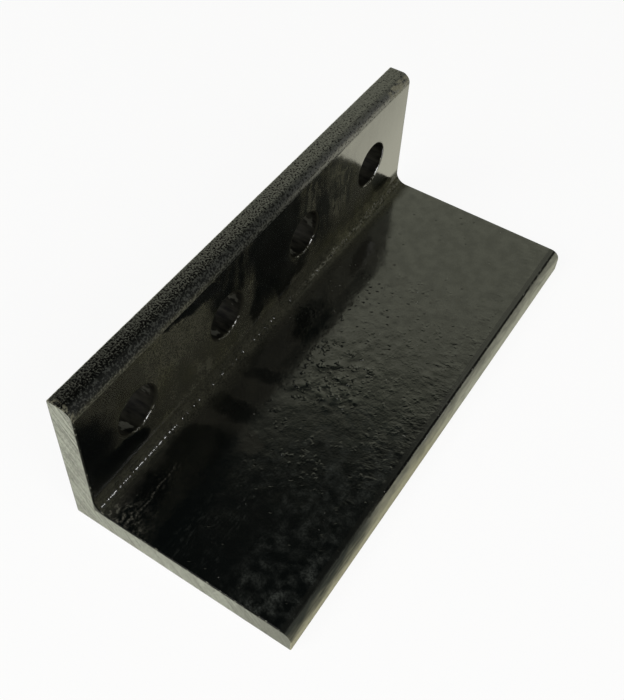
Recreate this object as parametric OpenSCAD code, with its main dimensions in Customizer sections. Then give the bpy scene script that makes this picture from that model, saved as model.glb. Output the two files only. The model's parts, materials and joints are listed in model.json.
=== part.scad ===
// Mounting bracket: a length of hot-rolled unequal steel angle, sawn square at both ends.
// One row of bolt holes is drilled through the upright leg, and the flat leg is left plain.
// The flat leg lies on Z = 0 with its toe towards -Y, the upright leg stands along +Y,
// and X runs along the length. The origin is under the middle of the bracket.

/* [Angle section] */
// Length of the bracket, from one sawn end to the other
bracket_length = 205; // [175:1:400]
// Width of the flat leg, from the heel to its toe
flat_leg = 90; // [40:1:160]
// Height of the upright leg, from the heel to its toe
upright_leg = 66; // [54:1:120]
// Thickness of both legs
leg_thickness = 10; // [5:0.5:16]
// Radius of the fillet in the root, where the two inner faces meet
root_radius = 5; // [2:0.5:10]
// Radius that the rolls leave on the inner edge of each toe
toe_radius = 4; // [1:0.5:9]

/* [Bolt holes] */
// Number of holes in the row
hole_count = 4; // [1:1:4]
// Diameter of each hole
hole_diameter = 19; // [8:0.5:30]
// Distance from one hole's centre to the next
hole_pitch = 50.5; // [24:0.5:60]
// Height of the holes' centres above the underside
hole_height = 37.5; // [26:0.5:51]
// Width of the broken edge round each hole, on both faces of the leg
hole_edge_break = 0.5; // [0.2:0.1:1.5]

/* [Hidden] */
// How far a cutting tool runs past the face that it cuts
cut_overlap = 1;
// Sides of every round feature
$fn = 96;
hole_radius = hole_diameter / 2;
hole_row = (hole_count - 1) * hole_pitch;
// Black enamel
enamel = [0.05, 0.05, 0.048];

// One leg from the heel at the origin, along +X, with the inner edge of its toe rounded
module leg_profile(leg) {
    square([leg - toe_radius, leg_thickness]);
    square([leg, leg_thickness - toe_radius]);
    translate([leg - toe_radius, leg_thickness - toe_radius])
        circle(r = toe_radius);
}

// Concave fillet that fills the root between the two inner faces
module root_fillet() {
    translate([leg_thickness, leg_thickness])
        difference() {
            square(root_radius);
            translate([root_radius, root_radius])
                circle(r = root_radius);
        }
}

// Rolled section with its heel at the origin: the flat leg along +X, the upright leg along +Y
module angle_section() {
    leg_profile(flat_leg);
    mirror([1, -1])
        leg_profile(upright_leg);
    root_fillet();
}

// The section sawn to length, turned to lie along X with the upright leg at the back
module sawn_angle() {
    translate([-bracket_length / 2, flat_leg / 2, 0])
        rotate([90, 0, 90])
            linear_extrude(height = bracket_length)
                mirror([1, 0])
                    angle_section();
}

// Cone that breaks the edge of a hole where it meets a face at Z = 0, with the leg above it
module edge_break() {
    translate([0, 0, -cut_overlap])
        cylinder(h = hole_edge_break + cut_overlap,
                 r1 = hole_radius + hole_edge_break + cut_overlap,
                 r2 = hole_radius);
}

// Drill for one hole, along +Z through a leg that stands between Z = 0 and its thickness
module bolt_hole() {
    translate([0, 0, -cut_overlap])
        cylinder(h = leg_thickness + 2 * cut_overlap, r = hole_radius);
    edge_break();
    translate([0, 0, leg_thickness])
        mirror([0, 0, 1])
            edge_break();
}

// Row of drills through the upright leg, from its inner face to the back
module hole_row_through_upright() {
    for (i = [0 : hole_count - 1])
        translate([i * hole_pitch - hole_row / 2, flat_leg / 2 - leg_thickness, hole_height])
            rotate([-90, 0, 0])
                bolt_hole();
}

module angle_bracket() {
    color(enamel)
        difference() {
            sawn_angle();
            hole_row_through_upright();
        }
}

angle_bracket();
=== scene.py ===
import json
import math

import bmesh
import bpy
import numpy as np
from mathutils import Matrix, Quaternion, Vector, noise
from mathutils.geometry import delaunay_2d_cdt


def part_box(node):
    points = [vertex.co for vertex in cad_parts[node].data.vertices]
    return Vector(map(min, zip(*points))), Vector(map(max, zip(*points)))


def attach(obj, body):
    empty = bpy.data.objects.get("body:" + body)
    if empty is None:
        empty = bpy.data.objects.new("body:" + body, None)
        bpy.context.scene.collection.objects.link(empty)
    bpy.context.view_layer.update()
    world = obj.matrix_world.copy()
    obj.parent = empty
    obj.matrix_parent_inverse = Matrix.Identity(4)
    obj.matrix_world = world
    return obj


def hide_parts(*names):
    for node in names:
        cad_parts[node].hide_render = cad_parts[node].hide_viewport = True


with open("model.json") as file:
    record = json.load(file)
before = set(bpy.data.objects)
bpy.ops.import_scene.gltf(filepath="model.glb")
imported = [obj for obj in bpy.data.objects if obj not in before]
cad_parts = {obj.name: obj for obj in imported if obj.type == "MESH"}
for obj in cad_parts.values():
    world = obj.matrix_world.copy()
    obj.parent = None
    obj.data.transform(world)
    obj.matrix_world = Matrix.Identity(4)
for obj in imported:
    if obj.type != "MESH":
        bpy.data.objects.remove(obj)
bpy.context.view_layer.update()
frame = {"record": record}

# Rolled section
# Hot-rolled unequal steel angle: a flat leg and an upright leg that meet in a filleted root.
# The rolls leave both toes rounded on the inside and the heel square.
MM = 0.001
low, high = (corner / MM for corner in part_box("angle_bracket"))
length = (high - low).x
leg_thickness = 10.0
root_radius = 5.0
toe_radius = 4.0
paint_arris = 0.5
top_arris = 1.1
plate_spacing = 0.6
wall_spacing = 0.9
hidden_spacing = 3.0
back_y, toe_y, top_z = high.y, low.y, high.z
wall_y = back_y - leg_thickness


def line(start, end, spacing):
    """Points from start up to, but not at, end."""
    count = max(1, round(math.dist(start, end) / spacing))
    return [tuple(np.array(start) + (np.array(end) - start) * k / count) for k in range(count)]


def arc(centre, radius, first, last, steps):
    """Points on an arc from the angle first up to, but not at, last, in degrees."""
    turns = np.radians(np.linspace(first, last, steps, endpoint=False))
    return [(centre[0] + radius * math.cos(a), centre[1] + radius * math.sin(a)) for a in turns]


outline = np.array(
    line((back_y - top_arris, top_z), (wall_y + toe_radius, top_z), plate_spacing)
    + arc((wall_y + toe_radius, top_z - toe_radius), toe_radius, 90, 180, 10)
    + line((wall_y, top_z - toe_radius), (wall_y, leg_thickness + root_radius), wall_spacing)
    + arc((wall_y - root_radius, leg_thickness + root_radius), root_radius, 0, -90, 14)
    + line((wall_y - root_radius, leg_thickness), (toe_y + toe_radius, leg_thickness), plate_spacing)
    + arc((toe_y + toe_radius, leg_thickness - toe_radius), toe_radius, 90, 180, 10)
    + line((toe_y, leg_thickness - toe_radius), (toe_y, paint_arris), plate_spacing)
    + arc((toe_y + paint_arris, paint_arris), paint_arris, 180, 270, 4)
    + line((toe_y + paint_arris, 0), (back_y - paint_arris, 0), hidden_spacing)
    + arc((back_y - paint_arris, paint_arris), paint_arris, 270, 360, 4)
    + line((back_y, paint_arris), (back_y, top_z - top_arris), hidden_spacing)
    + arc((back_y - top_arris, top_z - top_arris), top_arris, 0, 90, 6)
)
along = np.roll(outline, -1, axis=0) - np.roll(outline, 1, axis=0)
outward = np.column_stack([along[:, 1], -along[:, 0]])
outward /= np.linalg.norm(outward, axis=1, keepdims=True)

# The section sawn to length: rings of the outline along X, drawn in at both ends by the small
# round that the paint leaves on a sawn edge.
saw_arris = 0.35
station_spacing = 0.7
bends = np.radians([90, 60, 30])
end_x = length / 2
ring_x = [-end_x + saw_arris * (1 - math.sin(b)) for b in bends]
ring_inset = [saw_arris * (1 - math.cos(b)) for b in bends]
straight = np.linspace(-end_x + saw_arris, end_x - saw_arris, round(length / station_spacing))
station_x = np.concatenate([ring_x, straight, [-x for x in reversed(ring_x)]])
station_inset = np.concatenate([ring_inset, np.zeros(len(straight)), list(reversed(ring_inset))])
stations, points_round = len(station_x), len(outline)
vertices = [
    (x, *(point - inset * away))
    for x, inset in zip(station_x, station_inset)
    for point, away in zip(outline, outward)
]
skin = {(j, i) for j in range(stations - 1) for i in range(points_round)}

# Bolt holes
# Four plain holes drilled through the upright leg in one row. Their edges were broken with a
# larger drill, and the paint rounds them further. The bores took little paint.
record_mounts = {mount["name"]: mount for mount in frame["record"]["mounts"]}
outer_pair = record_mounts["outer_bolt_holes"]
inner_pair = record_mounts["inner_bolt_holes"]
hole_radius = outer_pair["dims"]["hole_r_mm"]
hole_z = outer_pair["pos_m"][2] / MM
hole_centres = sorted(
    side * pair["dims"]["spacing_x_mm"] / 2 for pair in (outer_pair, inner_pair) for side in (-1, 1)
)
hole_pitch = hole_centres[1] - hole_centres[0]
rim_round = 0.7
rim_turns = np.radians([0, 22.5, 45, 67.5, 90])
rim = [(hole_radius + rim_round * (1 - math.sin(a)), rim_round * (1 - math.cos(a))) for a in rim_turns]
bore_rings = 14
bore_depths = np.linspace(rim_round, leg_thickness - rim_round, bore_rings)[1:-1]
back_rim = [(radius, leg_thickness - depth) for radius, depth in reversed(rim)]
hole_profile = rim + [(hole_radius, depth) for depth in bore_depths] + back_rim
around = 84
turn = np.linspace(0, 2 * math.pi, around, endpoint=False)
window_margin = 3.5
window = hole_radius + window_margin
rim_clearance = 0.25
clear = hole_radius + rim_round + rim_clearance
faces = []
finish_of_face = []
ENAMEL, SAWN, BORE = range(3)


def fill(ids, plane, ring, finish, hollow):
    """Flat triangles over the listed vertices, in two axes: inside a ring, or round a hollow one."""
    flat = [Vector((vertices[k][plane[0]], vertices[k][plane[1]])) for k in ids]
    order = {k: n for n, k in enumerate(ids)}
    edges = [(order[a], order[b]) for a, b in zip(ring, [*ring[1:], ring[0]])]
    whole_sheet, inside_edges = 0, 1
    reach = whole_sheet if hollow else inside_edges
    _, _, triangles, origin, _, _ = delaunay_2d_cdt(flat, edges, [], reach, 1e-6)
    ring_ids = set(ring)
    for triangle in triangles:
        corners = [ids[origin[n][0]] for n in triangle]
        if not (hollow and ring_ids.issuperset(corners)):
            faces.append(corners)
            finish_of_face.append(finish)


for centre in hole_centres:
    rings = []
    for radius, depth in hole_profile:
        rings.append(range(len(vertices), len(vertices) + around))
        vertices += [
            (centre + radius * math.cos(a), wall_y + depth, hole_z + radius * math.sin(a)) for a in turn
        ]
    for step, (front, behind) in enumerate(zip(rings, rings[1:])):
        faces += [
            [front[k], front[(k + 1) % around], behind[(k + 1) % around], behind[k]] for k in range(around)
        ]
        in_bore = len(rim) <= step + 1 < len(rings) - len(rim) + 1
        finish_of_face += [BORE if in_bore else ENAMEL] * around
    for face_y, ring in ((wall_y, rings[0]), (back_y, rings[-1])):
        rows = [
            i for i in range(points_round)
            if abs(outline[i, 0] - face_y) < 1e-6 and abs(outline[i, 1] - hole_z) < window
        ]
        columns = [j for j in range(stations) if abs(station_x[j] - centre) < window]
        skin -= {(j, i) for j in columns[:-1] for i in rows[:-1]}
        kept = [
            j * points_round + i for j in columns for i in rows
            if j in (columns[0], columns[-1]) or i in (rows[0], rows[-1])
            or math.hypot(station_x[j] - centre, outline[i, 1] - hole_z) > clear
        ]
        fill(kept + list(ring), (0, 2), ring, ENAMEL, hollow=True)

faces += [
    [
        j * points_round + i, j * points_round + (i + 1) % points_round,
        (j + 1) * points_round + (i + 1) % points_round, (j + 1) * points_round + i,
    ]
    for j, i in sorted(skin)
]
finish_of_face += [ENAMEL] * len(skin)

# Sawn ends
# Both ends are cut square on a band saw and only thinly painted, so the marks of the blade show
# through as fine lines.
end_spacing = 0.9
inner_gap = 0.4
outer_gap = 0.6
round_gap = 0.7
tip_gap = 0.4 * toe_radius


def past_round(y, z, edge_y, edge_z):
    """True close to, or beyond, the round that takes off the corner of a toe."""
    off_y, off_z = y - edge_y - toe_radius, z - edge_z + toe_radius
    return off_y < 0 < off_z and math.hypot(off_y, off_z) > toe_radius - round_gap


def on_end(y, z):
    """True where a vertex may stand inside the section, a little way from its outline."""
    in_flat = z < leg_thickness - inner_gap and y > toe_y + tip_gap
    in_upright = y > wall_y + inner_gap and z < top_z - tip_gap
    in_legs = (in_flat or in_upright) and z > outer_gap and y < back_y - outer_gap
    return in_legs and not past_round(y, z, toe_y, leg_thickness) and not past_round(y, z, wall_y, top_z)


for station in (0, stations - 1):
    ring = [station * points_round + i for i in range(points_round)]
    inner_start = len(vertices)
    vertices += [
        (station_x[station], y, z)
        for y in np.arange(toe_y + end_spacing, back_y, end_spacing)
        for z in np.arange(end_spacing, top_z, end_spacing)
        if on_end(y, z)
    ]
    fill(ring + list(range(inner_start, len(vertices))), (1, 2), ring, SAWN, hollow=False)

mesh = bpy.data.meshes.new("angle_bracket_painted")
used = sorted({k for face in faces for k in face})
renumber = {k: n for n, k in enumerate(used)}
mesh.from_pydata([vertices[k] for k in used], [], [[renumber[k] for k in face] for face in faces])
mesh.polygons.foreach_set("material_index", finish_of_face)
shell = bmesh.new()
shell.from_mesh(mesh)
bmesh.ops.recalc_face_normals(shell, faces=shell.faces)
shell.to_mesh(mesh)
shell.free()
mesh.polygons.foreach_set("use_smooth", [True] * len(mesh.polygons))
mesh.update()

# Skin of the enamel
# Thick brushed enamel over rolled steel: it pools in waves, sags down the upright leg, and follows
# the pits and lumps that the rolls and the scale left in the steel.
place = np.empty(len(mesh.vertices) * 3)
mesh.vertices.foreach_get("co", place)
place = place.reshape(-1, 3)
facing = np.empty(len(mesh.vertices) * 3)
mesh.vertices.foreach_get("normal", facing)
facing = facing.reshape(-1, 3)
px, py, pz = place.T
seed_shift = 7.31


def lumps(size, seed, stretch=(1, 1, 1)):
    """Smooth noise from -1 to 1 at each vertex, in lumps of about that size in mm."""
    scaled = place / (np.array(stretch) * size) + seed * seed_shift
    return np.array([noise.noise(p) for p in scaled])


def ease(value, start, end):
    """0 at start, 1 at end, with a smooth step between."""
    share = np.clip((value - start) / (end - start), 0, 1)
    return share * share * (3 - 2 * share)


on_plate = ease(facing[:, 2], 0.8, 0.97) * (pz < leg_thickness + 1)
on_wall = ease(-facing[:, 1], 0.8, 0.97) * (py > 0)
on_top = ease(pz, top_z - 5, top_z - 3) * (facing[:, 2] > -0.1)
in_root = ease(py, 28, 30.5) * ease(pz, 17, 14) * (facing[:, 2] > 0.02) * (py < wall_y + 0.5)

film = 0.004 * lumps(1.6, 1) + 0.02 * lumps(11, 2)
film += on_plate * (0.010 * lumps(2.6, 3) + 0.025 * lumps(6, 4))
film += on_wall * (0.12 * lumps(11, 5, (1, 1, 3)) + 0.01 * lumps(3, 6, (1, 1, 2)))
film += on_top * 0.06 * lumps(1.5, 7)
film += in_root * 0.02 * lumps(2.2, 8, (1, 2, 2))

random = np.random.default_rng(20)


def blisters(count, x_range, y_range, radius_range, height_range):
    """Small lumps, or pits where the height is below zero, strewn over part of the flat leg."""
    heights = np.zeros(len(place))
    for _ in range(count):
        x, y = random.uniform(*x_range), random.uniform(*y_range)
        radius, height = random.uniform(*radius_range), random.uniform(*height_range)
        lean, draw = random.uniform(0, math.pi), random.uniform(1.0, 1.8)
        u = (px - x) * math.cos(lean) + (py - y) * math.sin(lean)
        v = (py - y) * math.cos(lean) - (px - x) * math.sin(lean)
        heights += height * np.exp(-(u / (radius * draw)) ** 2 - (v / radius) ** 2)
    return on_plate * heights


film += blisters(26, (-24, 8), (-16, 10), (1.0, 2.0), (0.03, 0.09))
film += blisters(60, (-10, 45), (-12, 16), (0.7, 1.0), (-0.05, -0.02))
film += blisters(40, (-100, 60), (-40, 20), (0.7, 1.2), (-0.02, 0.04))
band = ease(py, -40, -37) * ease(py, -27, -30) * on_plate
film += band * 0.03 * lumps(1.6, 9, (1, 2.6, 1)) * ease(lumps(12, 10), -0.3, 0.2)

place += facing * film[:, None]
mesh.vertices.foreach_set("co", (place * MM).ravel())
mesh.update()

bracket = bpy.data.objects.new("angle_bracket_painted", mesh)
bpy.context.scene.collection.objects.link(bracket)

# Black enamel
# Old gloss black enamel, brushed on over the rolled faces. It still shines where it was wiped. Brown
# haze, dust and wear lie over the gloss elsewhere, each as a thin matt coat.


class Value:
    """An output socket of a node. Arithmetic on it adds Math nodes to the same tree."""

    def __init__(self, tree, socket=None):
        self.tree = tree
        self.socket = socket

    def node(self, kind, settings, inputs, output=0):
        """A node of that kind: its settings first, then a value or a link for each input."""
        made = self.tree.nodes.new(kind)
        for name, setting in settings.items():
            if name == "stops":
                ramp = made.color_ramp.elements
                while len(ramp) < len(setting):
                    ramp.new(1.0)
                for stop, (position, level) in zip(ramp, setting):
                    stop.position = position
                    stop.color = (level, level, level, 1)
            else:
                setattr(made, name, setting)
        for name, given in inputs.items():
            if isinstance(given, Value):
                self.tree.links.new(given.socket, made.inputs[name])
            else:
                made.inputs[name].default_value = given
        return Value(self.tree, made.outputs[output])

    def maths(self, operation, other=0.0):
        """A Math node on this value and another."""
        return self.node("ShaderNodeMath", {"operation": operation}, {0: self, 1: other})

    def __add__(self, other):
        return self.maths("ADD", other)

    __radd__ = __add__

    def __mul__(self, other):
        return self.maths("MULTIPLY", other)

    __rmul__ = __mul__

    def __sub__(self, other):
        return self.maths("SUBTRACT", other)

    def __rsub__(self, other):
        return self.node("ShaderNodeMath", {"operation": "SUBTRACT"}, {0: other, 1: self})

    def __abs__(self):
        return self.maths("ABSOLUTE")

    def between(self, start, end):
        """0 at start and 1 at end, with a smooth step between them."""
        return self.node(
            "ShaderNodeMapRange", {"interpolation_type": "SMOOTHSTEP"},
            {"Value": self, "From Min": start, "From Max": end},
        )

    def within(self, start, end, edge):
        """1 from start to end, fading to 0 over an edge of that width outside them."""
        return self.between(start - edge, start) * self.between(end + edge, end)

    def blend(self, below, above):
        """The first colour where this value is 0 and the second where it is 1."""
        colours = {n: c if isinstance(c, Value) else (*c, 1) for n, c in ((6, below), (7, above))}
        return self.node("ShaderNodeMix", {"data_type": "RGBA"}, {0: self, **colours}, 2)

    def turned(self, degrees, axis="Z"):
        """This place turned about that axis."""
        return self.node(
            "ShaderNodeVectorRotate", {"rotation_type": axis + "_AXIS"},
            {"Vector": self, "Angle": math.radians(degrees)},
        )

    def warped(self, size, amount):
        """This place pushed about by noise, to make what is drawn on it ragged."""
        push = self.node("ShaderNodeTexNoise", {}, {"Vector": self, "Scale": 1 / size, "Detail": 2.0}, 1)
        push = self.node("ShaderNodeVectorMath", {"operation": "SUBTRACT"}, {0: push, 1: (0.5, 0.5, 0.5)})
        push = self.node("ShaderNodeVectorMath", {"operation": "SCALE"}, {0: push, "Scale": 2 * amount})
        return self.node("ShaderNodeVectorMath", {"operation": "ADD"}, {0: self, 1: push})

    def scaled(self, size, stretch, shift):
        """This place measured in cells of that size in mm, stretched along each axis and moved on."""
        scale = [1 / (size * s) for s in stretch]
        return self.node("ShaderNodeMapping", {}, {0: self, "Location": (shift,) * 3, "Scale": scale})

    def grain(self, size, detail=2.0, stretch=(1, 1, 1), shift=0.0):
        """Noise from 0 to 1 at this place, in lumps of about that size in mm."""
        cells = self.scaled(size, stretch, shift)
        return self.node("ShaderNodeTexNoise", {}, {"Vector": cells, "Scale": 1.0, "Detail": detail})

    def oval(self, centre, radii, degrees, edge):
        """1 in an oval on this place's first two axes, turned by that angle, with an edge that fades."""
        turn = math.radians(degrees)
        away = self.node("ShaderNodeVectorMath", {"operation": "SUBTRACT"}, {0: self, 1: (*centre, 0)})
        along = away.node(
            "ShaderNodeVectorMath", {"operation": "DOT_PRODUCT"},
            {0: away, 1: (math.cos(turn) / radii[0], math.sin(turn) / radii[0], 0)}, 1,
        )
        across = away.node(
            "ShaderNodeVectorMath", {"operation": "DOT_PRODUCT"},
            {0: away, 1: (-math.sin(turn) / radii[1], math.cos(turn) / radii[1], 0)}, 1,
        )
        return (along * along + across * across).between(1 + edge, 1 - edge)

    def dots(self, spacing, radius, share, stretch=(1, 1, 1), shift=0.0):
        """1 in soft spots of that radius, in a share of cells of that spacing in mm."""
        cell = {"Vector": self.scaled(spacing, stretch, shift), "Scale": 1.0}
        distance = self.node("ShaderNodeTexVoronoi", {}, cell)
        cell_colour = Value(self.tree, distance.socket.node.outputs["Color"])
        chance = self.node("ShaderNodeSeparateXYZ", {}, {0: cell_colour})
        return (distance * spacing).between(radius, 0.3 * radius) * chance.between(share + 0.01, share)


def painted(name):
    """A new material, its shader, and the place on the surface in mm with its three parts."""
    material = bpy.data.materials.new(name)
    material.use_nodes = True
    tree = material.node_tree
    spot = Value(tree).node("ShaderNodeTexCoord", {}, {}, "Object")
    spot = spot.node("ShaderNodeVectorMath", {"operation": "SCALE"}, {0: spot, "Scale": 1 / MM})
    parts = [spot.node("ShaderNodeSeparateXYZ", {}, {0: spot}, n) for n in range(3)]
    return material, tree.nodes["Principled BSDF"], spot, parts


def plug(shader, **inputs):
    """Links what varies, and sets what doesn't, on the shader's own sockets."""
    for name, given in inputs.items():
        socket = shader.inputs[name.replace("_", " ").title().replace("Ior", "IOR")]
        if isinstance(given, Value):
            given.tree.links.new(given.socket, socket)
        else:
            socket.default_value = given


def relief(height):
    """A normal from a height in mm."""
    return height.node("ShaderNodeBump", {}, {"Height": height, "Strength": 1.0, "Distance": MM})


class Coats:
    """Matt coats laid over one another: their joint share, and their colour times that share."""

    def __init__(self):
        self.share = 0.0
        self.colour = (0, 0, 0)

    def lay(self, share, colour):
        """Lays one more coat over a share of the surface."""
        share = share.maths("MINIMUM", 1.0)
        self.share = self.share + share - self.share * share
        self.colour = share.blend(self.colour, colour)


enamel, shader, spot, (x, y, z) = painted("black_enamel")
gloss_black = (0.0008, 0.0012, 0.0011)
gloss_brown = (0.0024, 0.0024, 0.0018)
tone = spot.grain(30, 3)
fine = spot.grain(0.7, 2)
crumbs = spot.grain(0.7, 3, shift=22).between(0.36, 0.64)
speckle = spot.grain(0.45, 4, shift=18).between(0.32, 0.68)
mottle = spot.grain(5, 5, (1, 1, 1.8), shift=16).between(0.34, 0.66)
ragged = spot.warped(1.0, 0.8)

# Where each face lies: the top edge with its flat and its round, the root, the upright leg, the flat leg
top_edge = z.between(top_z - 4.4, top_z - 3.6) * y.between(back_y - 0.2, back_y - 0.6)
top_flat = top_edge * y.between(wall_y + 2.0, wall_y + 4.0)
top_round = top_edge - top_flat
inside = y.between(wall_y + 1, wall_y + 0.7)
root = (y - 2.5 * x.between(-45, -60)).between(26.0, 31.0)
root = root * z.between(leg_thickness + 8, leg_thickness + 5) * inside
wall = y.between(wall_y - 2.5, wall_y - 1.5) * z.between(leg_thickness + 2, leg_thickness + 4) * inside
wall = wall * z.between(top_z - 2.6, top_z - 3.6)
plate = z.within(leg_thickness - 1, leg_thickness + 0.4, 0.6) * y.between(toe_y + 2.5, toe_y + 4)
plate = plate * y.between(32, 30)

# Leathery grain of the top edge, with dark pores, more of them at the near end, and the duller round
# below it. A pale line painted along the bottom of the round, towards the near end, is its highlight
pore_black = (0.0015, 0.0017, 0.0016)
round_dark = (0.008, 0.0088, 0.0075)
round_grey = (0.036, 0.0380, 0.0330)
highlight_beige = (0.125, 0.1220, 0.0920)
leather = spot.grain(0.75, 2, shift=1)
pored = leather - 0.04 * x.between(-40, -95) + 0.04 * x.between(10, 80) + 0.02 * y.between(42.5, 44)
pored = pored - 0.09 * y.between(42.5, 39.5) * x.between(30, -50)
far_round = x.between(0, 60)
pores = (top_flat + (0.60 + 0.25 * far_round) * top_round) * pored.between(0.50, 0.38)
round_dull = top_round * (0.88 - 0.58 * far_round)
# A pale line painted along the bottom of the round, fading out towards the middle, as its highlight
round_highlight_line = z.within(top_z - 3.9, top_z - 2.8, 0.6) * y.between(wall_y + 1.2, wall_y + 0.8)
round_highlight_line = round_highlight_line * x.between(-20, -50) * y.between(wall_y - 2, wall_y - 1) * (0.3 + 0.7 * crumbs)

# Brown haze that dulls the upright leg, wiped off in a few fields and paler beside the third hole, where a
# pale coat is a painted reflection of streaky light, with a small smear low beside the second hole
haze_dark = (0.030, 0.0294, 0.0210)
haze_pale = (0.084, 0.0820, 0.0585)
haze_olive = (0.080, 0.0780, 0.0430)
reflection_black = (0.0014, 0.0026, 0.0027)
side = spot.node("ShaderNodeCombineXYZ", {}, {0: x, 1: z}).warped(7, 4.0).warped(1.2, 0.9)
streak = spot.warped(6, 3).grain(2.8, 3, (1, 1, 4.0), shift=23).between(0.36, 0.64)
wiped = side.oval((-93, 22.5), (21.5, 7.4), 0, 0.2) + 0.9 * side.oval((-106, 37), (18, 23), 0, 0.7)
wiped = wiped + 0.9 * side.oval((-46, 61.5), (17, 4.5), -14, 0.5)
wiped = wiped + side.oval((5, 54), (15, 26), 0, 0.5) + 0.4 * side.oval((21, 48), (6, 12), 0, 0.8)
wiped = wiped + (0.45 + 0.5 * mottle) * side.oval((-23, 53), (13, 15), 0, 0.6)
wiped = wiped + 0.85 * side.oval((-7, 27), (3.6, 9), 4, 0.7)
wiped = wiped + 0.95 * side.oval((12, 25), (6, 9.5), 0, 0.6)
wiped = wiped + 0.65 * side.oval((3, 29), (10, 8), 0, 0.8)
wiped = wiped + 0.7 * side.oval((22.5, 24), (6, 5.5), 0, 0.8)
wiped = wiped + 0.45 * side.oval((40, 36), (8, 17), 0, 0.8)
wiped = wiped + 0.9 * side.oval((92, 22), (13, 9), -20, 0.5)
wiped = wiped + 0.7 * streak * x.within(27, 58, 6) * z.between(22, 34)
wiped = wiped.between(0.02, 0.95)
triangle = (x + 0.98 * z).between(107.5, 110.5)
haze_level = 1 - (0.34 + 0.16 * crumbs) * x.between(-62, -80)
haze_level = haze_level * (1 - 0.15 * x.between(-30, 10)) * (1 - 0.3 * z.within(24, 34, 12))
haze_texture = (0.20 * speckle + 0.16 * crumbs) * (1 - wiped)
haze = wall * haze_level * (1 - triangle) * (1 - wiped) * (0.46 + 0.18 * mottle + haze_texture)
# A pale coat beside the third hole painted as a reflection of streaky light, and a small smear by the
# second
pale_smear_and_reflection = 0.55 * wall * (1 - triangle) * side.oval((50, 43), (8, 15), 0, 0.8)
pale_smear_and_reflection = pale_smear_and_reflection * (1 - streak) * (0.5 + 0.5 * mottle)
pale_smear_and_reflection = pale_smear_and_reflection + 0.45 * wall * side.oval((-39, 24), (7, 3.2), -25, 0.9) * (1 - streak)
olive = 0.7 * x.within(46, 78, 8) * z.between(30, 22) * mottle
olive = olive + 0.6 * spot.grain(13, 3, shift=26).between(0.42, 0.64)
veil = 0.22 * wall * triangle * (z - 0.5 * x).between(-20, 27) * (0.9 + 0.2 * streak)

# The root's own haze, which leaves only a row of bare, glinting dashes in the bottom of the fillet, with
# pale dots of painted glint and a short grey line of painted highlight in its far half
root_dark = (0.009, 0.0090, 0.0068)
root_brown = (0.052, 0.0508, 0.0366)
root_olive = (0.085, 0.0830, 0.0520)
root_highlight_grey = (0.13, 0.128, 0.100)
speck_and_glint_grey = (0.20, 0.20, 0.175)
bare = spot.grain(0.9, 2, (1, 4, 4), shift=15) - 0.16 * x.between(-66, -54)
bare = bare.between(0.46, 0.51) * y.within(32.9, 33.7, 0.5)
bare = bare * z.between(leg_thickness + 5, leg_thickness + 3)
root_haze = root * (0.70 + 0.15 * mottle + 0.15 * speckle)
root_haze = root_haze.maths("MAXIMUM", y.within(32.2, 34.4, 0.5) * root)
root_haze = root_haze * (1 - bare)
haze = haze * (1 - bare)
# Pale dots painted along the bottom of the root, mostly in its far half, as its glints
root_glint_dots = root * y.within(32.4, 34.0, 0.5) * ragged.dots(1.2, 0.42, 0.65, shift=9)
root_glint_dots = root_glint_dots * (0.12 + 0.88 * x.between(8, 34)) * spot.grain(9, 3, shift=30).between(0.38, 0.54)
# A short grey line painted along the bottom of the root as its highlight
root_highlight_line = y.within(32.8, 33.6, 0.4) * spot.grain(0.7, 3, (1.7, 1, 1), shift=38).between(0.44, 0.62)
root_highlight_line = root_highlight_line * root * x.between(14, 34) * z.between(leg_thickness + 4, leg_thickness + 2)
root_wear = 0.3 * mottle + 0.3 * speckle + 0.4 * crumbs
root_colour = root_wear.blend(root_dark, x.between(38, 60).blend(root_brown, root_olive))

# Round rims of the holes, dull but for a broken glint at the bottom of each
rim_brown = (0.018, 0.0176, 0.0130)


def from_hole(x):
    """How far along the bracket a place lies from the middle of the nearest hole."""
    return (x + (hole_pitch / 2 - hole_centres[0])).maths("FLOORED_MODULO", hole_pitch) - hole_pitch / 2


hole_x = from_hole(x)
hole_square = hole_x * hole_x + (z - hole_z) * (z - hole_z)
hole_r = hole_square.maths("SQRT")
rim_faces = inside * y.between(wall_y - 1, wall_y - 0.5) + y.between(back_y - 1, back_y - 0.7)
dull_rim = hole_r.between(hole_radius + 0.95, hole_radius + rim_round) * rim_faces
bare_rim = z.between(hole_z - 5.5, hole_z - 7.0) * hole_x.between(-6, -4)
bare_rim = bare_rim * spot.grain(1.1, 2, shift=21).between(0.45, 0.52)
dull_rim = dull_rim * (1 - bare_rim) * (1 - 0.8 * triangle)

# The rounded edge along both sawn ends, dark, and chipped paler towards the top
edge_grey = (0.007, 0.0072, 0.0062)
arris = abs(x).between(end_x - 0.5, end_x - 0.3)
chipped = arris * spot.grain(1.3, 4, shift=27).between(0.60, 0.64)
top_chips = arris * z.between(top_z - 7, top_z - 4) * spot.grain(1.0, 3, shift=31).between(0.46, 0.52)
chipped = chipped + top_chips

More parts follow.
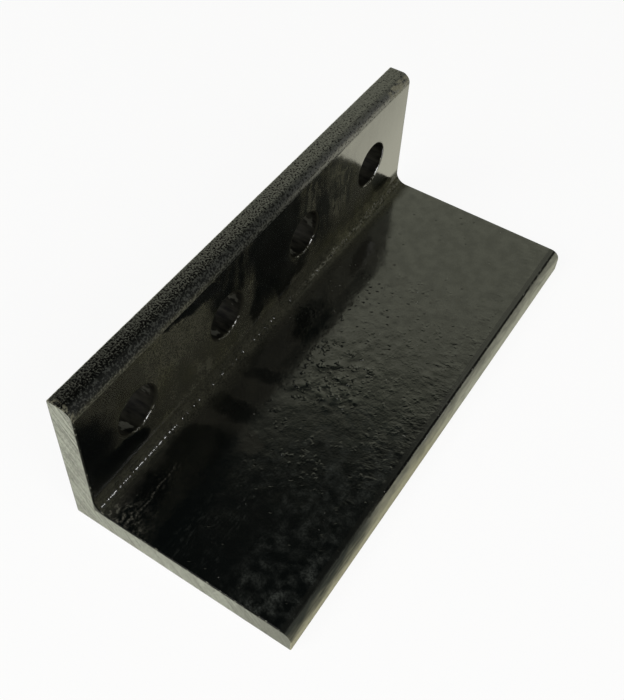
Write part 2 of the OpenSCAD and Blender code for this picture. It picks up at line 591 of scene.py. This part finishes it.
# A browner coat on the flat leg beside the root, where it mirrors the upright leg: partly haze, partly a
# painted reflection of that leg. It is left off in darker lobes and a darker band, painted as the
# reflection of the holes and wiped fields
haze_and_reflection_brown = (0.036, 0.0350, 0.0275)
bent = spot.warped(5, 3.0).warped(1.0, 0.7)
reflected_lobes = bent.oval((-84, 16), (33, 13), 0, 0.35) + bent.oval((-63, 22), (10.5, 9.5), 0, 0.3)
reflected_lobes = reflected_lobes + 0.75 * bent.oval((-41.5, 21), (13, 4.6), 97, 0.7)
reflected_lobes = reflected_lobes + 0.65 * bent.oval((-22, 20), (9.5, 3), 112, 0.8)
reflected_lobes = reflected_lobes + 0.5 * bent.oval((-14, 29.5), (8, 2.6), 15, 0.8)
reflected_lobes = reflected_lobes + 0.85 * bent.oval((12, 21), (12.5, 6.3), 12, 0.5)
reflected_lobes = reflected_lobes.maths("MINIMUM", 1.0)
bent_y = y + 4 * (spot.grain(6, 4, shift=25) - 0.5)
# Darker lobes and a band painted where the flat leg mirrors the holes and wiped fields of the upright leg
dark_reflections = plate * (0.45 * reflected_lobes + 0.35 * bent_y.within(14, 18, 2) * x.within(-12, 45, 8))
haze_edge = 0.25 * (x - 40).maths("MAXIMUM", 0.0)
haze_and_reflected_wall = plate * (bent_y - haze_edge).between(11.5, 13.5)
haze_and_reflected_wall = haze_and_reflected_wall + plate * bent.oval((-50.5, 8), (5.4, 5.2), 0, 0.25)
haze_and_reflected_wall = haze_and_reflected_wall * (0.26 + 0.12 * mottle + 0.16 * speckle + 0.12 * crumbs)
haze_and_reflected_wall = haze_and_reflected_wall * x.between(84, 66) * (1 - reflected_lobes)

# Dust on the flat leg: clouds, streaks along it, scuffs in the near corner, a long rub, scattered specks,
# and pale specks painted along the round of the toe as its glints
dust_grey = (0.034, 0.037, 0.033)
scuff_grey = (0.105, 0.102, 0.082)
streaks = spot.grain(1.1, 4, (3, 1, 1), shift=8).between(0.50, 0.68)
streaks = streaks * spot.grain(9, 3, (1.6, 1, 1), shift=4).between(0.46, 0.58)
streaks = streaks * y.within(-16, 4, 6) * x.between(-30, -50)
toe_dust = spot.grain(5, 7, shift=13).between(0.40, 0.72) * y.between(-10, -28) * x.between(5, -45)
toe_dust = toe_dust * (0.4 + 0.6 * spot.grain(8, 4, shift=28).between(0.40, 0.60))
toe_dust = toe_dust * (1 + x.between(-68, -88))
clouds = spot.grain(3.5, 5, shift=32).between(0.46, 0.70) * x.within(-60, -18, 10) * y.within(-34, -4, 8)
scuffs = x.between(-89, -100) * y.between(10, 27) * spot.grain(1.4, 5, (1.6, 1, 1)).between(0.46, 0.66)
strand = abs(y - 22.8 - 0.06 * (x + 89) + 3.0 * (spot.grain(6, 3) - 0.5))
strand = strand.between(0.55, 0.1) + 0.35 * abs(strand - 1.4).between(0.4, 0.1)
rub = strand * x.within(-98, -73, 3) * spot.grain(1.3, 3).between(0.44, 0.56)
dust = 0.35 * streaks + 0.75 * toe_dust + 0.5 * clouds
dust = plate * dust * (0.30 + 0.70 * crumbs)
scuffs = plate * (0.85 * scuffs + 0.35 * rub) * (0.30 + 0.70 * crumbs)
specks_and_glints = ragged.dots(2.2, 0.30, 0.14, shift=2) * spot.grain(7, 3, shift=11).between(0.50, 0.60) * plate
specks_and_glints = specks_and_glints + ragged.dots(1.0, 0.36, 0.40) * spot.dots(19, 2.4, 0.4) * (1 - wall)
specks_and_glints = specks_and_glints + plate * ragged.dots(1.5, 0.34, 0.30, shift=6) * bent.oval((36, 24), (13, 5), 0, 0.8)
# Pale specks painted along the round of the toe as its glints
toe_glint_specks = ragged.dots(1.4, 0.50, 0.40, shift=7) * y.within(toe_y + 1.9, toe_y + 2.7, 0.3)
specks_and_glints = specks_and_glints + toe_glint_specks * spot.grain(6, 2).between(0.50, 0.60)
specks_and_glints = specks_and_glints * (0.4 + 0.6 * crumbs)

# Pits and wrinkles in the middle of the flat leg, and the rippled band near its toe
slanted = spot.turned(56).warped(1.5, 0.55)
pitted = x.within(-8, 38, 12) * y.within(-12, 16, 5) * plate
pits = pitted * slanted.dots(1.6, 0.50, 0.22, (1.9, 0.8, 1))
stray_pits = plate * slanted.dots(3.2, 0.55, 0.34, (1.7, 0.7, 1), 5)
wrinkled = x.within(-18, 2, 8) * y.within(-10, 10, 6)
wrinkled = wrinkled * spot.grain(5, 2, shift=5).between(0.40, 0.52) * plate
wrinkled = wrinkled + 0.35 * plate * spot.grain(8, 2, shift=17).between(0.50, 0.62) * x.within(-45, 50, 20)
pebbles = spot.warped(2.2, 1.6).dots(2.0, 1.0, 0.75, (1.2, 0.9, 1), 3) * wrinkled
ripples = plate * y.within(-40, -31, 3) * (0.3 + spot.grain(7, 2, shift=2).between(0.40, 0.60))
ripples = ripples * spot.turned(-15).grain(1.3, 2, (1, 2.6, 1), shift=6)

# The toe has worn to a matt beige below a thin dark line, greyer and streaked at the near end
toe_dark = (0.040, 0.043, 0.036)
toe_grey = (0.16, 0.160, 0.128)
toe_beige = (0.41, 0.392, 0.275)
toe_pale = (0.43, 0.430, 0.345)
toe_band_dark = (0.010, 0.0105, 0.0090)
toe_highlight_grey = (0.055, 0.0560, 0.0470)
streaked = spot.grain(1.0, 5, (9, 1, 1), shift=7)
toe_line = y + 0.7 * (streaked - 0.5) + 0.6 * (spot.grain(1.2, 3) - 0.5)
near_toe = x.between(-38, -66)
toe_worn = toe_line.between(toe_y + 2.2, toe_y + 1.8)
toe_start = toe_line.between(toe_y + 3.2, toe_y + 2.4) * near_toe
toe_start = toe_start * (0.4 + 0.6 * streaked.between(0.35, 0.60))
toe_worn = toe_worn.maths("MAXIMUM", 0.9 * toe_start)
toe_glints = spot.grain(1.4, 3, (1.6, 1, 1), shift=19).between(0.58, 0.63)
upper = z.between(leg_thickness - 9, leg_thickness - 8)
# A grey band painted along the round of the toe as its highlight, dark towards the near end
toe_highlight_band = y.within(toe_y + 2.0, toe_y + 4.2, 0.8) * upper
toe_dull = y.within(toe_y + 2.2, toe_y + 2.7, 0.3) * (1 - toe_glints) * (1 - 0.8 * near_toe) * upper
toe_height = z + 5.0 * (streaked - 0.5) + 1.0 * near_toe
toe_colour = near_toe.blend(toe_grey, toe_dark)
toe_colour = toe_height.between(10.5, 5.0).blend(toe_colour, x.between(-20, 20).blend(toe_beige, toe_pale))
toe_dirt = spot.grain(2.0, 4, (2.5, 1, 1), shift=34).between(0.48, 0.66)
toe_colour = (0.22 * toe_dirt).blend(toe_colour, toe_dark)

# Chips at both ends of the top edge
chip_beige = (0.22, 0.212, 0.155)
far_chip = x.within(89, 102, 3) * y.within(34, 37, 1) * top_edge
far_chip = far_chip * spot.grain(1.6, 4, (2, 1, 1)).between(0.44, 0.54)
near_chip = x.between(-99.8, -101.8) * top_edge * spot.grain(1.3, 5, shift=37).between(0.48, 0.58)
chip = 0.7 * far_chip + 0.6 * near_chip

# The back and the underside, rubbed dull by what the bracket stood on and leaned against
outer_brown = (0.012, 0.0122, 0.0102)
outer = y.between(back_y - 0.4, back_y - 0.15).maths("MAXIMUM", z.between(0.4, 0.15))
clouded = spot.grain(24, 3, shift=33).between(0.40, 0.60)
outer = outer * (0.80 + 0.07 * mottle + 0.05 * speckle + 0.06 * clouded)

# The matt coats in the order in which they lie
coats = Coats()
coats.lay(outer, outer_brown)
coats.lay(veil, haze_dark)
coats.lay(0.95 * haze, speckle.blend(haze_dark, olive.blend(haze_pale, haze_olive)))
coats.lay(pale_smear_and_reflection, haze_pale)
# A near-black coat over part of the wiped fields, painted to darken what they reflect
coats.lay(0.25 * wall * wiped * (1 - triangle), reflection_black)
coats.lay(root_haze, root_colour)
coats.lay(0.7 * root_highlight_line, root_highlight_grey)
coats.lay(root_glint_dots, speck_and_glint_grey)
coats.lay(haze_and_reflected_wall, haze_and_reflection_brown)
coats.lay(dark_reflections, reflection_black)
coats.lay(plate * (0.15 * speckle + 0.15 * mottle), pore_black)
coats.lay(dust, dust_grey)
coats.lay(scuffs, scuff_grey)
coats.lay(dull_rim, rim_brown)
coats.lay(round_dull, leather.between(0.34, 0.66).blend(round_dark, round_grey))
coats.lay(round_highlight_line, highlight_beige)
coats.lay(0.95 * arris, chipped.blend(edge_grey, toe_grey))
coats.lay(0.65 * toe_highlight_band, x.between(-60, 40).blend(toe_band_dark, toe_highlight_grey))
coats.lay(0.8 * pits + 0.6 * stray_pits + 0.95 * pores + 0.8 * toe_dull, pore_black)
coats.lay(chip, chip_beige)
coats.lay(toe_worn, toe_colour)
coats.lay(specks_and_glints, speck_and_glint_grey)

# Relief in mm, and the gloss below the coats
rough_plate = plate * (0.2 + 0.8 * x.within(-14, 25, 26))
rough_plate = rough_plate * (0.35 + 0.9 * spot.grain(6, 3, shift=35).between(0.42, 0.60))
height = 0.010 * (1 - 0.7 * wall + plate * (0.5 - 1.3 * y.between(1, 8))) * fine
height = height + 0.03 * spot.grain(2.8, 2, shift=3)
height = height + rough_plate * 0.040 * spot.grain(1.4, 2, shift=20)
height = height + plate * (0.11 * pebbles + 0.055 * ripples) - 0.08 * pits - 0.04 * stray_pits
height = height + (0.20 * top_flat + (0.09 + 0.09 * far_round) * top_round) * leather
surface = relief(height)
plug(
    shader, base_color=tone.blend(gloss_black, gloss_brown), normal=surface, ior=3.3,
    roughness=0.10 + 0.06 * tone + 0.10 * top_edge + 0.15 * top_round,
)
matt_colour = surface.node(
    "ShaderNodeVectorMath", {"operation": "DIVIDE"}, {0: coats.colour, 1: coats.share + 0.0001},
)
matt = surface.node(
    "ShaderNodeBsdfPrincipled", {},
    {"Base Color": matt_colour, "Roughness": 0.9, "Specular IOR Level": 0.0, "Normal": surface},
)
layers = surface.node(
    "ShaderNodeMixShader", {}, {0: coats.share, 1: Value(surface.tree, shader.outputs[0]), 2: matt},
)
surface.tree.links.new(layers.socket, surface.tree.nodes["Material Output"].inputs["Surface"])
mesh.materials.append(enamel)

# Paint on the sawn ends
# A thin grey-green wash of paint on the steel as the saw left it. The blade ran across at a slant, and
# the inner edges of the section stay black.
sawn, shader, spot, (x, y, z) = painted("thin_paint_on_sawn_steel")
wash_dark = (0.095, 0.101, 0.084)
wash_pale = (0.44, 0.46, 0.39)
wash_worn = (0.115, 0.12, 0.10)
score_dark = (0.05, 0.05, 0.045)
lip_black = (0.012, 0.012, 0.010)
saw_slant = -57
stroke_rate = 6.6
cut = spot.turned(saw_slant, "X")
stroke = cut.node("ShaderNodeSeparateXYZ", {}, {0: cut}, 2) * stroke_rate + 5 * spot.grain(5, 2, shift=5)
saw_lines = 0.85 * cut.grain(0.30, 2, (1, 60, 1)) + 0.15 * cut.grain(1.6, 3, (1, 12, 1), shift=2)
saw_lines = saw_lines + 0.05 * stroke.maths("SINE")
blotches = spot.grain(7, 4)
tooth = spot.grain(0.9, 2, shift=3)
scores = spot.dots(4.5, 0.55, 0.5, (1, 1.8, 1))
lip = (y - wall_y).maths("MAXIMUM", leg_thickness - z).between(0.7, 0.35)
shade = 0.60 * saw_lines + 0.12 * blotches + 0.28 * tooth
colour = shade.between(0.38, 0.62).blend(wash_dark, wash_pale)
colour = (0.75 * y.between(-15, -42)).blend(colour, wash_worn)
colour = scores.blend(colour, score_dark)
colour = lip.blend(colour, lip_black)
plug(
    shader, base_color=colour, roughness=0.4 + 0.2 * blotches, ior=1.5,
    normal=relief(0.06 * saw_lines + 0.05 * tooth - 0.05 * scores),
)
mesh.materials.append(sawn)

# Drilled bores
# Bare steel gone dark, with long marks down the bore and runs of paint. Paler patches on both sides
# of the nearer bores, along a slanted diameter, are a painted reflection of the bright table behind.
drilled, shader, spot, (x, y, z) = painted("drilled_bore")
bore_black = (0.003, 0.003, 0.0026)
bore_brown = (0.016, 0.0156, 0.0122)
bore_reflection_grey = (0.095, 0.095, 0.080)
chatter = spot.grain(1.1, 3, (1, 14, 1))
patches = spot.grain(2.0, 6, (1, 2, 1), shift=4)
hole_x = from_hole(x)
# Paler patches painted on both sides of the nearer bores as the reflection of the table behind them
bore_reflection_patches = abs(0.87 * hole_x + 0.50 * (z - hole_z)) * (1 / hole_radius) + 0.7 * (patches - 0.5)
bore_reflection_patches = bore_reflection_patches.within(0.70, 0.84, 0.05) * (y + 5 * (patches - 0.5)).within(wall_y + 2.8, wall_y + 6.5, 0.8)
bore_reflection_patches = bore_reflection_patches * x.between(62, 42) * (0.35 + 0.35 * hole_x.between(2, -2))
streaky = 0.5 * chatter + 0.5 * patches
colour = streaky.between(0.34, 0.64).blend(bore_black, bore_brown)
colour = bore_reflection_patches.blend(colour, bore_reflection_grey)
plug(shader, base_color=colour, roughness=0.5, normal=relief(0.04 * chatter + 0.04 * patches), ior=1.12)
mesh.materials.append(drilled)

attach(bracket, "root")
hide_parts("angle_bracket")

# Floor
# A plain pale table, lit evenly. It reads as white to the camera and keeps a soft shadow.
floor_half = 3.0
floor_mesh = bpy.data.meshes.new("floor")
floor_corners = [(-1, -1), (1, -1), (1, 1), (-1, 1)]
floor_mesh.from_pydata([(floor_half * a, floor_half * b, 0) for a, b in floor_corners], [], [(0, 1, 2, 3)])
floor = bpy.data.objects.new("floor", floor_mesh)
bpy.context.scene.collection.objects.link(floor)
table = bpy.data.materials.new("white_table")
table.use_nodes = True
start = Value(table.node_tree)
seen = start.node("ShaderNodeLightPath", {}, {}, "Is Camera Ray")
mirrored = start.node("ShaderNodeLightPath", {}, {}, "Is Glossy Ray")
white = (1, 1, 1)
cream = (0.92, 0.91, 0.87)
warm_white = (1.0, 0.985, 0.80)
matt = start.node("ShaderNodeBsdfDiffuse", {}, {"Color": (*cream, 1)})
paper = mirrored.blend(white, warm_white)
glow = start.node("ShaderNodeEmission", {}, {"Color": paper, "Strength": 1.0})
white_share = 0.91
share = seen * white_share + mirrored
top = start.node("ShaderNodeMixShader", {}, {0: share, 1: matt, 2: glow})
table.node_tree.links.new(top.socket, table.node_tree.nodes["Material Output"].inputs["Surface"])
floor_mesh.materials.append(table)

# Light
# Large soft lamps on the near and left sides light the table and the bracket at a plain level, and a
# narrow strip light at the near right draws thin glints along its rounds.


def lamp(name, place, aim, width, height, power, along=None):
    """An area lamp that faces its aim, with its width along the given direction."""
    light = bpy.data.lights.new(name, "AREA")
    light.shape = "RECTANGLE"
    light.size, light.size_y = width, height
    light.energy = power
    holder = bpy.data.objects.new(name, light)
    away = (Vector(place) - Vector(aim)).normalized()
    across = Vector(along or (-away.y, away.x, 0))
    across = (across - away * across.dot(away)).normalized()
    turned = Matrix((across, away.cross(across), away)).transposed().to_4x4()
    holder.matrix_world = Matrix.Translation(place) @ turned
    bpy.context.scene.collection.objects.link(holder)


lamp("left_softbox", (-1.1, 0.5, 1.0), (0, 0, 0), 1.0, 1.0, 14)
lamp("near_softbox", (-0.5, -1.2, 1.0), (0, 0, 0), 1.0, 1.0, 14)
lamp("strip_light", (0.496, -0.913, 0.60), (0, 0, 0), 0.60, 0.030, 0.375, (0.88, 0.48, 0))

# Room
# The room is pale near the table, bright towards the far right, dark in a doorway beside that and dim
# overhead. The camera sees it as plain white.
world = bpy.data.worlds.new("room")
bpy.context.scene.world = world
world.use_nodes = True
start = Value(world.node_tree)
way = start.node("ShaderNodeTexCoord", {}, {}, "Generated")
east, north, up = (start.node("ShaderNodeSeparateXYZ", {}, {0: way}, n) for n in range(3))
bearing = north.maths("ARCTAN2", east) * (180 / math.pi)
rise = up.maths("ARCSINE") * (180 / math.pi)
bearing_levels = [
    (-180, 0.06), (-60, 0.06), (-56, 0.022), (-31, 0.022), (-29, 0.24), (35, 0.265), (44, 0.195),
    (53, 0.135), (70, 0.082), (110, 0.06), (180, 0.06),
]
around_room = start.node(
    "ShaderNodeValToRGB", {"stops": [((b + 180) / 360, level) for b, level in bearing_levels]},
    {0: bearing * (1 / 360) + 0.5},
)
low_band = rise.between(44, 34) * bearing.between(-30, -20) * bearing.between(60, 40)
level = around_room * rise.between(58.5, 47) + 0.112 * low_band + 0.040 * rise.between(14, 5)
room_warm = (0.98, 1.0, 0.77, 1)
room_cool = (0.0045, 0.0062, 0.0064, 1)
room_tint = start.node(
    "ShaderNodeMix", {"data_type": "RGBA", "blend_type": "MULTIPLY"}, {0: 1.0, 6: room_warm, 7: level}, 2,
)
room_tint = start.node(
    "ShaderNodeMix", {"data_type": "RGBA", "blend_type": "ADD"}, {0: 1.0, 6: room_cool, 7: room_tint}, 2,
)
seen = start.node("ShaderNodeLightPath", {}, {}, "Is Camera Ray")
room_colour = seen.blend(room_tint, white)
world.node_tree.links.new(room_colour.socket, world.node_tree.nodes["Background"].inputs["Color"])

# Camera
# Held above the near left corner, looking down along the bracket.
camera_data = bpy.data.cameras.new("camera")
camera = bpy.data.objects.new("camera", camera_data)
bpy.context.scene.collection.objects.link(camera)
camera_place = Vector((-206.4, -106.1, 302.2)) * MM
camera_aim = Vector((-1.25, 25.9, 0)) * MM
camera_roll = math.radians(1.58)
camera_data.sensor_width = 36
camera_data.lens = 50
camera_data.shift_x = 0.04
camera_data.clip_start = 0.01
camera.location = camera_place
camera.rotation_mode = "QUATERNION"
camera.rotation_quaternion = (camera_aim - camera_place).to_track_quat("-Z", "Y") @ Quaternion(
    (0, 0, 1), camera_roll
)
bpy.context.scene.camera = camera
bpy.context.scene.view_settings.view_transform = "Standard"
